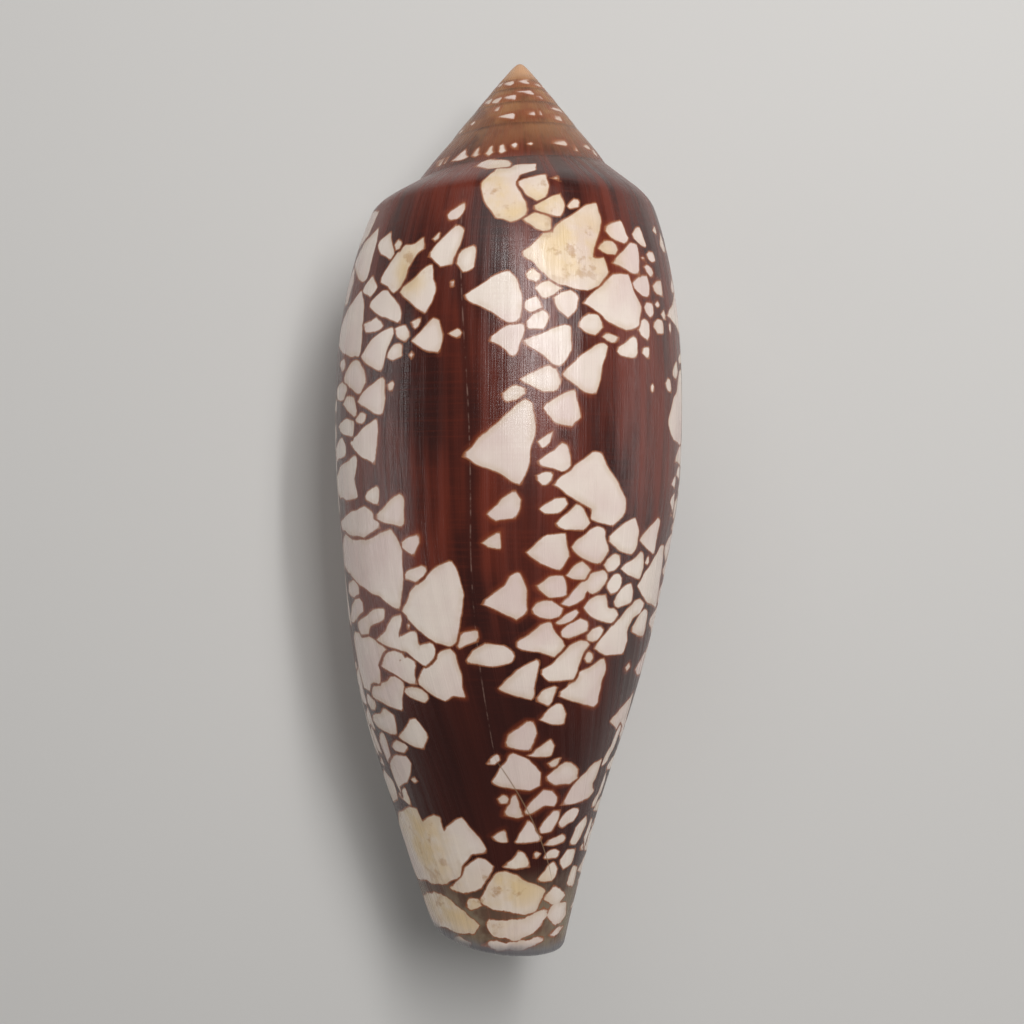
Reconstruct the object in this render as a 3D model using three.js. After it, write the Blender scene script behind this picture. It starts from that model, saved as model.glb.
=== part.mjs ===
// A large dextral cone shell, lying at rest on its aperture with its back up.
//
// The shell is one grown piece, so it is one closed mesh. It is worked out in the shell's own frame:
// the coiling axis is z with the apex on top, "depth" is the distance below the apex, and "turn" is
// the angle in degrees that the spiral runs back from the lip, so 0 is the lip's edge and 360 lies one
// whorl further in, behind the aperture. The outside, the spire, the hollow behind the aperture, the
// lip's edge and the rim of the base are patches that share their border points.
// Units are millimetres, +Z is up, +Y points to the apex and the origin is under the middle of the shell.
import * as THREE from "three";
import { mergeGeometries, mergeVertices } from "three/addons/utils/BufferGeometryUtils.js";

// Driving dimensions.
const LENGTH = 110; // apex to base, along the axis
const SUTURE_DEPTH = 17; // where the lip meets the whorl before it
const SUTURE_DECAY = 0.43; // how fast the suture climbs to the apex, per whorl
const SPIRE_SLOPE = 0.79; // radius gained per millimetre of depth on the spire
const TIP_ROUNDING = 1.0; // roundness of the apex
const RAMP_SLOPE = 1.2; // how much flatter the last whorl's top is than the spire, at the lip
const SHOULDER_ROUNDING = 1.2;
const SHOULDER_CLIMB = 4.0; // how much higher the shoulder lies one whorl back
const UNDERSIDE = 0.06; // how much the whorl flattens towards its underside, as a share of its radius
const WALL = 2.0; // the body wall
const LIP_EDGE = 0.9; // the wall at the lip's edge and the rim of the base
const HOLLOW_TURN = 320; // how far the hollow runs back from the lip, in degrees
const LEAST_GAP = 0.05; // between the hollow's two sides, before it closes
const COLUMELLA_DEPTH = 106.5; // the rounded end of the pillar in the middle of the base
const LIP_ANGLE = 125; // where the lip stands round the axis, in degrees from +x

// The shell's radius at the lip against depth, for the body whorl.
const BODY_PROFILE = [
  [10, 12.4],
  [13, 15.0],
  [16, 17.1],
  [19, 18.8],
  [22, 20.15],
  [27, 21.8],
  [34, 23.25],
  [42, 23.9],
  [52, 23.7],
  [62, 23.1],
  [70, 22.65],
  [77, 21.9],
  [84, 20.3],
  [91, 17.95],
  [98.5, 15.35],
  [110, 10.9],
];

// How it lies: rolled about its axis and pitched up at the apex until it rests on three points.
const REST_ROLL = 3.99;
const REST_PITCH = 0.831;

// Resolution.
const COLUMNS = 54; // per whorl
const RAMP_ROWS = 3; // from the suture to the shoulder
const BODY_ROWS = 24; // from the shoulder to the base
const SPIRE_TURNS = 3; // whorls of the spire with a modelled suture
const TIP_ROWS = 3;

const ROWS = RAMP_ROWS + BODY_ROWS;
const STEP = 360 / COLUMNS;
const HOLLOW_COLUMNS = Math.round(HOLLOW_TURN / STEP);
const rad = THREE.MathUtils.degToRad;
const { lerp, smoothstep } = THREE.MathUtils;

// A smooth curve through [x, y] points: a natural cubic spline.
function curveThrough(points) {
  const last = points.length - 1;
  const width = (i) => points[i + 1][0] - points[i][0];
  const slope = (i) => (points[i + 1][1] - points[i][1]) / width(i);
  const bend = new Array(last + 1).fill(0);
  const share = new Array(last + 1).fill(0);
  for (let i = 1; i < last; i++) {
    const pivot = 2 * (width(i - 1) + width(i)) - width(i - 1) * share[i - 1];
    share[i] = width(i) / pivot;
    bend[i] = (6 * (slope(i) - slope(i - 1)) - width(i - 1) * bend[i - 1]) / pivot;
  }
  for (let i = last - 1; i > 0; i--) bend[i] -= share[i] * bend[i + 1];
  return (x) => {
    const after = points.findIndex((p, i) => i > 0 && p[0] >= x);
    const i = after < 0 ? last - 1 : after - 1;
    const t = x - points[i][0];
    const start = slope(i) - (width(i) * (2 * bend[i] + bend[i + 1])) / 6;
    return points[i][1] + t * (start + t * (bend[i] / 2 + (t * (bend[i + 1] - bend[i])) / (6 * width(i))));
  };
}

// The smaller of two numbers, with the corner where they cross rounded off.
function smoothMin(a, b, rounding) {
  const near = Math.max(rounding - Math.abs(a - b), 0) / rounding;
  return Math.min(a, b) - (near * near * rounding) / 4;
}

const bodyRadius = curveThrough(BODY_PROFILE);

// How much the spiral tightens per whorl: the aperture is narrow on top and wide at the base.
const tightening = (depth) => 0.25 + 0.83 * smoothstep(depth, 50, 111);

// The radius at a turn, as a share of the radius at the lip.
function spiral(turn, depth) {
  const flattened = smoothstep(turn, 285, 360) * smoothstep(depth, 22, 34);
  return Math.exp((-tightening(depth) * turn) / 360) - UNDERSIDE * flattened;
}

// Growth lines run straight down the shell and then sweep back towards the base, in degrees.
const sweep = (depth) => 24 * smoothstep(depth, 58, 114);

// The depth of the seam between whorls, which winds up to the apex.
const sutureDepth = (turn) => SUTURE_DEPTH * Math.exp((-SUTURE_DECAY * turn) / 360);

const spireRadius = (depth) => Math.sqrt((SPIRE_SLOPE * depth) ** 2 + TIP_ROUNDING * depth);

// The rim of the base: it climbs towards the lip and towards the pillar.
function baseDepth(turn) {
  const lowest = 210;
  if (turn < lowest) return LENGTH - 4 * (1 - turn / lowest) ** 3;
  const back = Math.min(turn, 360) - lowest;
  return LENGTH - 4.5 * (back / (360 - lowest)) ** 2;
}

// The outside's radius. The last whorl's top is a ramp that starts at its suture.
function outsideRadius(turn, depth) {
  const flattening = RAMP_SLOPE * Math.max(1 - turn / 360, 0);
  const ramp = spireRadius(depth) + flattening * Math.max(depth - sutureDepth(turn), 0);
  const climb = SHOULDER_CLIMB * (1 - smoothstep(depth, 20, 60));
  const body = bodyRadius(depth + (climb * turn) / 360) * spiral(turn, depth);
  return smoothMin(ramp, body, SHOULDER_ROUNDING);
}

function place(turn, depth, radius) {
  const angle = rad(LIP_ANGLE + turn + sweep(depth));
  return new THREE.Vector3(radius * Math.cos(angle), radius * Math.sin(angle), LENGTH - depth);
}

const onOutside = (turn, depth) => place(turn, depth, outsideRadius(turn, depth));

// Point of the body whorl: rows 0 to RAMP_ROWS run from the suture to the shoulder, the rest to the rim.
function bodyPoint(column, row) {
  const turn = column * STEP;
  const top = sutureDepth(turn);
  const shoulder = lerp(21, SUTURE_DEPTH, turn / 360);
  if (row <= RAMP_ROWS) return onOutside(turn, lerp(top, shoulder, row / RAMP_ROWS));
  return onOutside(turn, lerp(shoulder, baseDepth(turn), (row - RAMP_ROWS) / BODY_ROWS));
}

// Point of the spire, between a whorl's suture (row 0) and the next whorl's (row RAMP_ROWS).
function spirePoint(column, row) {
  const turn = column * STEP;
  const top = sutureDepth(Math.min(turn, 360 * SPIRE_TURNS));
  const next = sutureDepth(turn - 360);
  return onOutside(turn, lerp(top, next, row / RAMP_ROWS));
}

function tipPoint(column, row) {
  const depth = sutureDepth(360 * SPIRE_TURNS) * (1 - row / TIP_ROWS) ** 1.5;
  return onOutside(360 * SPIRE_TURNS + column * STEP, depth);
}

// The hollow's inner side is the whorl before, which shows through the aperture.
function pillarPoint(column, row) {
  const turn = column * STEP;
  const top = sutureDepth(turn) + 2.5 * smoothstep(turn, 0, 30);
  return onOutside(360 + turn, lerp(top, baseDepth(360 + turn), row / BODY_ROWS));
}

// The hollow's outer side is the inside of the body wall. It closes on the pillar at the far end.
function wallPoint(column, row) {
  if (row === 0 || column === HOLLOW_COLUMNS) return pillarPoint(column, row);
  const turn = column * STEP;
  const top = sutureDepth(turn) + 2.5 * smoothstep(turn, 0, 30);
  const closing = smoothstep(turn, HOLLOW_TURN - 70, HOLLOW_TURN);
  const bottom = lerp(baseDepth(turn), baseDepth(360 + turn), closing);
  const depth = lerp(top, bottom, row / BODY_ROWS);
  const thickness = lerp(LIP_EDGE, WALL, smoothstep(turn, 0, 35) * (1 - smoothstep(depth, 92, 108)));
  const inside = outsideRadius(turn, Math.min(depth, bottom)) - thickness;
  const pillar = outsideRadius(360 + turn, depth);
  return place(turn, depth, Math.max(lerp(inside, pillar, closing), pillar + LEAST_GAP));
}

// A patch of surface through a grid of points, with columns running round and rows running down.
function patch(point, columns, rows, inward = false) {
  const vertices = [];
  for (let c = 0; c <= columns; c++) {
    for (let r = 0; r <= rows; r++) vertices.push(...point(c, r).toArray());
  }
  const faces = [];
  for (let c = 0; c < columns; c++) {
    for (let r = 0; r < rows; r++) {
      const a = c * (rows + 1) + r;
      const b = a + rows + 1;
      if (inward) faces.push(a, b, b + 1, a, b + 1, a + 1);
      else faces.push(a, b + 1, b, a, a + 1, b + 1);
    }
  }
  const geometry = new THREE.BufferGeometry();
  geometry.setAttribute("position", new THREE.Float32BufferAttribute(vertices, 3));
  geometry.setIndex(faces);
  return geometry;
}

const outside = () => patch(bodyPoint, COLUMNS, ROWS);

const spire = () => patch((c, r) => spirePoint(COLUMNS + c, r), COLUMNS * SPIRE_TURNS, RAMP_ROWS);

const tip = () => patch(tipPoint, COLUMNS, TIP_ROWS, true);

// Rows run up the body wall's inside to the top of the hollow, then down the pillar.
function hollow() {
  const point = (c, r) => (r <= BODY_ROWS ? wallPoint(c, BODY_ROWS - r) : pillarPoint(c, r - BODY_ROWS));
  return patch(point, HOLLOW_COLUMNS, 2 * BODY_ROWS);
}

// The lip's edge, from the outside (column 0) to the inside of the wall (column 1).
function lip() {
  const point = (c, r) => (c === 0 ? bodyPoint(0, r) : wallPoint(0, Math.max(r - RAMP_ROWS, 0)));
  return patch(point, 1, ROWS, true);
}

// The rim of the base, as far back as the hollow reaches.
function rim() {
  const point = (c, r) => (r === 0 ? bodyPoint(c, ROWS) : wallPoint(c, BODY_ROWS));
  return patch(point, HOLLOW_COLUMNS, 1);
}

// The end of the pillar: a cone between the axis and the rest of the rim.
function pillarEnd() {
  const back = COLUMNS - HOLLOW_COLUMNS;
  const edge = (c) => {
    if (c <= back) return bodyPoint(HOLLOW_COLUMNS + c, ROWS);
    return c <= COLUMNS ? pillarPoint(c - back, BODY_ROWS) : bodyPoint(HOLLOW_COLUMNS, ROWS);
  };
  const point = (c, r) => (r === 0 ? edge(c) : new THREE.Vector3(0, 0, LENGTH - COLUMELLA_DEPTH));
  return patch(point, COLUMNS + 1, 1);
}

function shellGeometry() {
  const patches = [outside(), spire(), tip(), hollow(), lip(), rim(), pillarEnd()];
  return mergeVertices(mergeGeometries(patches), 1e-4);
}

const porcelain = new THREE.MeshStandardMaterial({ color: 0x5a2318, roughness: 0.3, metalness: 0 });
const shell = new THREE.Mesh(shellGeometry(), porcelain);
shell.name = "cone_shell";
shell.rotation.z = rad(REST_ROLL);

const lying = new THREE.Group();
lying.rotation.x = rad(REST_PITCH - 90);
lying.add(shell);

// The origin goes under the middle of the shell's box, on the surface that it lies on.
const part = new THREE.Group();
part.add(lying);
part.updateMatrixWorld(true);
const box = new THREE.Box3().setFromObject(part, true);
const middle = box.getCenter(new THREE.Vector3());
lying.position.set(-middle.x, -middle.y, -box.min.z);

export default part;
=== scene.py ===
"""A large tented cone shell, lying on its aperture, with its fine surface, glaze and pattern.

The shell is worked out in its own frame, in millimetres. Its coiling axis is z with the apex on top.
"Depth" is the distance below the apex, and "turn" is the angle in degrees that the spiral runs back
from the lip, so 0 is the lip's edge, 360 is one whorl further in, and growth lines are lines of one turn.
"""

import math

import bpy
import numpy as np
from bpy.props import FloatProperty, FloatVectorProperty, IntProperty, PointerProperty
from mathutils import Matrix, Vector


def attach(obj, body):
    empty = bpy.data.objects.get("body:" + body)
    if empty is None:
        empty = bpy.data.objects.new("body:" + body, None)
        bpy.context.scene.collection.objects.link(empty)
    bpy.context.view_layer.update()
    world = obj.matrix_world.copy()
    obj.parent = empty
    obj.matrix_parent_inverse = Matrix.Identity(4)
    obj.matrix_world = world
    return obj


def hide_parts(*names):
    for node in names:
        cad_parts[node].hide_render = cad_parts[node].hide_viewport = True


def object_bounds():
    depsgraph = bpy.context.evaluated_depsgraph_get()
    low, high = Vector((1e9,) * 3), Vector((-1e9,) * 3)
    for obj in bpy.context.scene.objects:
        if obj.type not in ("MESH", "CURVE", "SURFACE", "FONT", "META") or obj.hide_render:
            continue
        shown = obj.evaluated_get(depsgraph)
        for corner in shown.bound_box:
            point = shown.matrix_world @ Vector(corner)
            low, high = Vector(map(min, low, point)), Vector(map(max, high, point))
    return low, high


bl_info = {
    "name": "Tented cone shell",
    "version": (1, 0, 0),
    "blender": (4, 5, 0),
    "location": "3D View > Sidebar > Cone Shell",
    "description": "Grows a large tented cone shell and lays it on a pale floor",
    "category": "Add Mesh",
}

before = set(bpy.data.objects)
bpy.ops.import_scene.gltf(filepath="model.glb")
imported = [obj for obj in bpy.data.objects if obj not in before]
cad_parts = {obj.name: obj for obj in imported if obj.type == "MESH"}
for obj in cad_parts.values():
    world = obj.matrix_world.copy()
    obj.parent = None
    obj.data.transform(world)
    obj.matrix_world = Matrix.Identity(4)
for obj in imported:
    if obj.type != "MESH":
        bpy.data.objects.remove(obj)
CAD_BOX = [list(corner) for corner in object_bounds()]
NODE = "cone_shell"
MM = 0.001

# ---- The form of the shell, in millimetres and degrees.
LENGTH = 110.0
SUTURE_DEPTH = 17.0  # where the lip meets the whorl before it
SUTURE_DECAY = 0.43  # how fast the suture climbs to the apex, per whorl
SPIRE_SLOPE = 0.79  # radius gained per millimetre of depth on the spire
TIP_ROUNDING = 1.0
RAMP_SLOPE = 1.2  # how much flatter the last whorl's top is than the spire, at the lip
SHOULDER_DEPTH = 21.0
SHOULDER_ROUNDING = 1.2
SHOULDER_CLIMB = 4.0  # how much higher the shoulder lies one whorl back
UNDERSIDE = 0.06  # how much the whorl flattens towards its underside
WALL = 2.0
LIP_EDGE = 0.9
HOLLOW_TURN = 321.0  # how far the hollow runs back from the lip
LEAST_GAP = 0.05
COLUMELLA_DEPTH = 106.5
LIP_ANGLE = 125.0  # where the lip stands round the axis, from +x
REST_ROLL = 3.99  # about its axis, as it lies
REST_PITCH = 0.831  # up at the apex, as it lies
CAMERA_SIDE = -0.8  # how far the camera stands to the side of the axis
CAMERA_DEPTH = 56.33  # how far below the apex it looks
CAMERA_LEAN = -0.2  # how far it leans sideways

# The radius at the lip against depth, for the body whorl.
BODY_PROFILE = [
    (10, 12.4), (13, 15.0), (16, 17.1), (19, 18.8), (22, 20.15), (27, 21.8), (34, 23.25), (42, 23.9),
    (52, 23.7), (62, 23.1), (70, 22.65), (77, 21.9), (84, 20.3), (91, 17.95), (98.5, 15.35), (110, 10.9),
]

# ---- The mesh's cells. The hollow's are COARSER times as long each way as the outside's.
COLUMNS = 360  # per whorl
RAMP_ROWS = 12  # from the suture to the shoulder
BODY_ROWS = 168  # from the shoulder to the base
SPIRE_WHORLS = 5
SPIRE_ROWS = 6
TIP_ROWS = 6
EDGE_ROWS = 4  # round the lip's edge and the rim
PILLAR_END_ROWS = 6
COARSER = 3
SHARP = 50  # edges sharper than this, in degrees, stay sharp
SAME_PLACE = 5e-4  # border points closer than this are one point
ROWS = RAMP_ROWS + BODY_ROWS
HOLLOW_COLUMNS = round(HOLLOW_TURN * COLUMNS / 360)


def smoothstep(value, start, end):
    t = np.clip((value - start) / (end - start), 0, 1)
    return t * t * (3 - 2 * t)


def lerp(a, b, t):
    return a + (b - a) * t


def smooth_min(a, b, rounding):
    """The smaller of two numbers, with the corner where they cross rounded off."""
    near = np.maximum(rounding - abs(a - b), 0) / rounding
    return np.minimum(a, b) - near * near * rounding / 4


def curve_through(points):
    """A smooth curve through (x, y) points: a natural cubic spline."""
    x, y = np.array(points, float).T
    width = np.diff(x)
    slope = np.diff(y) / width
    system = np.diag(2 * (width[:-1] + width[1:]))
    system += np.diag(width[1:-1], 1) + np.diag(width[1:-1], -1)
    bend = np.concatenate([[0], np.linalg.solve(system, 6 * np.diff(slope)), [0]])

    def value(at):
        i = np.clip(np.searchsorted(x, at) - 1, 0, len(width) - 1)
        t = at - x[i]
        start = slope[i] - width[i] * (2 * bend[i] + bend[i + 1]) / 6
        return y[i] + t * (start + t * (bend[i] / 2 + t * (bend[i + 1] - bend[i]) / (6 * width[i])))

    return value


body_radius = curve_through(BODY_PROFILE)


def tightening(depth):
    """How much the spiral tightens per whorl: the aperture is narrow on top and wide at the base."""
    return 0.25 + 0.83 * smoothstep(depth, 50, 111)


def spiral(turn, depth):
    """The radius at a turn, as a share of the radius at the lip."""
    flattened = smoothstep(turn, 285, 360) * smoothstep(depth, 22, 34)
    return np.exp(-tightening(depth) * turn / 360) - UNDERSIDE * flattened


def sweep(depth):
    """Growth lines run straight down the shell and then sweep back towards the base."""
    return 24 * smoothstep(depth, 58, 114)


def suture_depth(turn):
    return SUTURE_DEPTH * np.exp(-SUTURE_DECAY * turn / 360)


def spire_radius(depth):
    return np.sqrt((SPIRE_SLOPE * depth) ** 2 + TIP_ROUNDING * depth)


def base_depth(turn):
    """The rim of the base: it climbs towards the lip and towards the pillar."""
    lowest = 210
    towards_lip = 4 * np.maximum(1 - turn / lowest, 0) ** 3
    towards_pillar = 4.5 * np.maximum((np.minimum(turn, 360) - lowest) / (360 - lowest), 0) ** 2
    return LENGTH - towards_lip - towards_pillar


def outside_radius(turn, depth):
    """The outside's radius. The last whorl's top is a ramp that starts at its suture."""
    flattening = RAMP_SLOPE * np.maximum(1 - turn / 360, 0)
    ramp = spire_radius(depth) + flattening * np.maximum(depth - suture_depth(turn), 0)
    climb = SHOULDER_CLIMB * (1 - smoothstep(depth, 20, 60))
    body = body_radius(depth + climb * turn / 360) * spiral(turn, depth)
    return smooth_min(ramp, body, SHOULDER_ROUNDING)


def place(turn, depth, radius):
    """Points in the shell's own frame, in millimetres."""
    angle = np.radians(LIP_ANGLE + turn + sweep(depth))
    return np.stack([radius * np.cos(angle), radius * np.sin(angle), LENGTH - depth], -1)


# ---- What growth adds to the form.


def waves(value, seed, count, first):
    """Smooth seeded noise along one direction, from -1 to 1. first is the longest wave's frequency."""
    draw = np.random.default_rng(seed)
    sizes = 0.75 ** np.arange(count)
    total = 0
    for i, size in enumerate(sizes):
        frequency = first * 1.9**i * draw.uniform(0.85, 1.15)
        total = total + size * np.sin(value * frequency + draw.uniform(0, math.tau))
    return total / sizes.sum()


def ripples(x, y, seed, count, length):
    """Smooth seeded noise over a plane, from about -1 to 1, with waves of about the given length."""
    draw = np.random.default_rng(seed)
    total = 0
    for _ in range(count):
        angle, frequency = draw.uniform(0, math.tau), math.tau / (length * draw.uniform(0.6, 1.6))
        along = x * math.cos(angle) + y * math.sin(angle)
        total = total + np.sin(frequency * along + draw.uniform(0, math.tau))
    return total / math.sqrt(count * 2)


def scar_turn(depth):
    """Where growth once stopped and healed: a line down the back."""
    return 126.5 + 3.8 * np.cos((np.minimum(depth, 85) - 52) / 14) + 1.7 * np.maximum(depth - 85, 0)


def relief(turn, depth):
    """What growth lines and the scar add to the body whorl's radius."""
    drift = turn + 1.5 * waves(depth, 3, 3, 0.12)
    lines = 0.045 * waves(drift, 5, 4, 0.18) + 0.018 * waves(drift, 8, 4, 1.1)
    scar = scar_turn(depth)
    step = 0.09 * (smoothstep(turn, scar - 1.2, scar) - smoothstep(turn, scar + 6, scar + 40))
    groove = 0.05 * np.exp(-(((turn - scar) / 0.8) ** 2))
    scarred = smoothstep(depth, 18, 24) * (1 - smoothstep(depth, 76, 92))
    fading = smoothstep(depth, 17, 26) * (1 - smoothstep(turn, 340, 360))
    return fading * (lines + scarred * (step - groove))


def outside(turn, depth):
    return place(turn, depth, outside_radius(turn, depth) + relief(turn, depth))


# ---- The surface, as patches that share their border points. Each takes a grid's u, round the shell,
# and v, down it, from 0 to 1, and gives turn, depth, points and how far inside the aperture it is.


def body_patch(u, v):
    turn = 360 * u
    ramp_share = RAMP_ROWS / ROWS
    shoulder = lerp(SHOULDER_DEPTH, SUTURE_DEPTH, u)
    on_ramp = lerp(suture_depth(turn), shoulder, np.clip(v / ramp_share, 0, 1))
    below = lerp(shoulder, base_depth(turn), np.clip((v - ramp_share) / (1 - ramp_share), 0, 1))
    depth = np.where(v < ramp_share, on_ramp, below)
    return turn, depth, outside(turn, depth), 0 * u


def spire_patch(u, v):
    """Each whorl bulges a little between its sutures."""
    turn = 360 * (1 + SPIRE_WHORLS * u)
    top = suture_depth(np.minimum(turn, 360 * SPIRE_WHORLS))
    depth = lerp(top, suture_depth(turn - 360), v)
    ends = smoothstep(u, 0, 0.02) * (1 - smoothstep(u, 0.97, 1))
    bulge = 0.012 * depth * np.sin(math.pi * v) ** 0.8 * ends
    return turn, depth, place(turn, depth, outside_radius(turn, depth) + bulge), 0 * u


def tip_patch(u, v):
    turn = 360 * (SPIRE_WHORLS + u)
    depth = suture_depth(360 * SPIRE_WHORLS) * v**1.5
    return turn, depth, outside(turn, depth), 0 * u


def hollow_top(turn):
    return suture_depth(turn) + 2.5 * smoothstep(turn, 0, 30)


def pillar_patch(u, v):
    """The hollow's inner side: the whorl before, which shows through the aperture."""
    turn = HOLLOW_TURN * u
    depth = lerp(hollow_top(turn), base_depth(360 + turn), v)
    return 360 + turn, depth, outside(360 + turn, depth), smoothstep(turn, 0, 12)


def wall_patch(u, v):
    """The hollow's outer side: the inside of the body wall. It closes on the pillar at the far end."""
    turn = HOLLOW_TURN * u
    closing = smoothstep(turn, HOLLOW_TURN - 70, HOLLOW_TURN)
    bottom = lerp(base_depth(turn), base_depth(360 + turn), closing)
    depth = lerp(hollow_top(turn), bottom, v)
    thick = smoothstep(turn, 0, 35) * (1 - smoothstep(depth, 92, 108))
    inside = outside_radius(turn, depth) - lerp(LIP_EDGE, WALL, thick)
    pillar = outside_radius(360 + turn, depth)
    radius = np.maximum(lerp(inside, pillar, closing), pillar + LEAST_GAP)
    radius = np.where((v == 0) | (u == 1), pillar, radius)
    return turn, depth, place(turn, depth, radius), 1 + 0 * u


def rounded_edge(outer, inner, across, out):
    """Points across an edge between two borders, bulging out as a half round does."""
    width = np.linalg.norm(inner - outer, axis=-1, keepdims=True)
    across = across[..., None]
    return lerp(outer, inner, across) + out * np.minimum(width, LIP_EDGE) * 0.45 * np.sin(math.pi * across)


def lip_patch(u, v):
    turn, depth, outer, _ = body_patch(0 * u, v)
    ramp_share = RAMP_ROWS / ROWS
    inner = wall_patch(0 * u, np.clip((v - ramp_share) / (1 - ramp_share), 0, 1))[2]
    ahead = place(turn - 90, depth, 1 + 0 * u) - place(turn, depth, 0 * u)
    down = smoothstep(v, 0.97, 1)[..., None]
    out = lerp(ahead, np.array([0, 0, -1.0]), down)
    return turn, depth, rounded_edge(outer, inner, u, out), smoothstep(u, 0.1, 0.6)


def rim_patch(u, v):
    turn, depth, outer, _ = body_patch(u * HOLLOW_TURN / 360, 1 + 0 * v)
    inner = wall_patch(u, 1 + 0 * v)[2]
    return turn, depth, rounded_edge(outer, inner, v, np.array([0, 0, -1.0])), smoothstep(v, 0.1, 0.6)


def pillar_end_patch(u, v):
    """The rounded end of the pillar, between the rest of the rim and the axis."""
    start = HOLLOW_TURN / 360
    rim = body_patch(np.minimum(start + u, 1), 1 + 0 * v)[2]
    pillar = pillar_patch(np.clip((u - 1 + start) / start, 0, 1), 1 + 0 * v)[2]
    edge = np.where((u > 1 - start)[..., None], pillar, rim)
    middle = np.array([0, 0, LENGTH - COLUMELLA_DEPTH])
    return 360 + 0 * u, LENGTH + 0 * v, lerp(edge, middle, v[..., None]), 0.6 + 0 * u


# ---- The mesh.

LAYERS = 6  # tents that meet lie in different layers, so the thin line between them stays sharp
BAKE_MAP = "OFBake"
FIELDS = ("turn", "depth", "lining")


def read(elements, name, width=1):
    values = np.empty(len(elements) * width)
    elements.foreach_get(name, values)
    return values.reshape(-1, width) if width > 1 else values


def write_field(mesh, name, values):
    """Stores one number for each face's corners, so that it can jump at a suture."""
    field = mesh.attributes.new(name, "FLOAT", "CORNER")
    field.data.foreach_set("value", np.ascontiguousarray(values, np.float32))


def read_places(mesh):
    """The turn and depth of each different place on the mesh, and which place each face's corner has."""
    turn, depth = (read(mesh.attributes[name].data, "value") for name in ("turn", "depth"))
    places, which = np.unique(turn + 1j * depth, return_inverse=True)
    return places.real, places.imag, which


def lay_grid(patch, columns, rows, map_low, map_high):
    """Adds a grid primitive and lays it over a patch. The map corners are its place on the bake map."""
    bpy.ops.mesh.primitive_grid_add(x_subdivisions=columns, y_subdivisions=rows, size=2, calc_uvs=True)
    grid = bpy.context.object
    mesh = grid.data
    flat = read(mesh.vertices, "co", 3)
    u = np.rint((flat[:, 0] + 1) / 2 * columns) / columns
    v = np.rint((1 - flat[:, 1]) / 2 * rows) / rows
    turn, depth, points, lining = patch(u, v)
    mesh.vertices.foreach_set("co", (points * MM).ravel())
    corners = read(mesh.loops, "vertex_index").astype(int)
    for name, values in zip(FIELDS, (turn, depth, lining)):
        write_field(mesh, name, values[corners])
    mesh.uv_layers[0].name = BAKE_MAP
    places = read(mesh.uv_layers[0].data, "uv", 2)
    places = np.array(map_low) + places * (np.array(map_high) - np.array(map_low))
    mesh.uv_layers[0].data.foreach_set("uv", places.ravel())
    return grid


def map_from_above(grid, middle, radius, share):
    """Gives a patch of the spire its place on the bake map as seen from above the apex."""
    mesh = grid.data
    corners = read(mesh.loops, "vertex_index").astype(int)
    seen = read(mesh.vertices, "co", 3)[corners, :2] / (radius * MM)
    mesh.uv_layers[BAKE_MAP].data.foreach_set("uv", (np.array(middle) + seen * share).ravel())


def resting_matrix():
    """From the shell's own frame, in millimetres, to where it lies, in metres."""
    rolled = Matrix.Rotation(math.radians(REST_ROLL), 4, "Z")
    turned = Matrix.Scale(MM, 4) @ Matrix.Rotation(math.radians(REST_PITCH - 90), 4, "X") @ rolled
    u, v = np.meshgrid(np.linspace(0, 1, 361), np.linspace(0, 1, 201))
    points = np.concatenate([part(u, v)[2].reshape(-1, 3) for part in (body_patch, lip_patch, tip_patch)])
    points = points @ np.array(turned.to_3x3()).T
    low, high = points.min(0), points.max(0)
    box_low, box_high = np.array(CAD_BOX)
    move = (box_low + box_high - low - high) / 2
    move[2] = box_low[2] - low[2]
    return Matrix.Translation(Vector(move)) @ turned


def grow_shell():
    """Lays the patches, sews them into one closed mesh and lays that down."""
    bpy.ops.object.select_all(action="DESELECT")
    whorl = HOLLOW_COLUMNS // COARSER, BODY_ROWS // COARSER
    patches = [
        lay_grid(body_patch, COLUMNS, ROWS, (0.004, 0.345), (0.996, 0.996)),
        lay_grid(wall_patch, *whorl, (0.34, 0.17), (0.8, 0.33)),
        lay_grid(pillar_patch, *whorl, (0.34, 0.005), (0.8, 0.16)),
        lay_grid(lip_patch, EDGE_ROWS, ROWS, (0.81, 0.005), (0.85, 0.33)),
        lay_grid(rim_patch, HOLLOW_COLUMNS, EDGE_ROWS, (0.86, 0.25), (0.996, 0.33)),
        lay_grid(pillar_end_patch, COLUMNS, PILLAR_END_ROWS, (0.86, 0.005), (0.996, 0.24)),
    ]
    top = (spire_patch, COLUMNS * SPIRE_WHORLS, SPIRE_ROWS), (tip_patch, COLUMNS, TIP_ROWS)
    for patch, columns, rows in top:
        grid = lay_grid(patch, columns, rows, (0, 0), (1, 1))
        map_from_above(grid, (0.168, 0.168), spire_radius(SUTURE_DEPTH), 0.16)
        patches.append(grid)
    for grid in patches:
        grid.select_set(True)
    bpy.context.view_layer.objects.active = patches[0]
    bpy.ops.object.join()
    shell = bpy.context.object
    shell.name = shell.data.name = "shell"
    bpy.ops.object.mode_set(mode="EDIT")
    bpy.ops.mesh.select_all(action="SELECT")
    bpy.ops.mesh.remove_doubles(threshold=SAME_PLACE * MM)
    bpy.ops.mesh.fill_holes(sides=0)
    bpy.ops.mesh.select_all(action="SELECT")
    bpy.ops.mesh.normals_make_consistent(inside=False)
    bpy.ops.object.mode_set(mode="OBJECT")
    shell.data.transform(resting_matrix() @ Matrix.Scale(1 / MM, 4))
    bpy.ops.object.shade_smooth_by_angle(angle=math.radians(SHARP))
    return shell


# ---- The tents.

LINE = 0.3  # width of the brown line between tents that meet
APART = 1.2  # tents closer than this lie in different layers
OUTSIDE = 3.0  # how far outside a tent its edge is still followed
LEAST_FREE = 0.86  # the share of a new tent that older tents have to leave free

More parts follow.
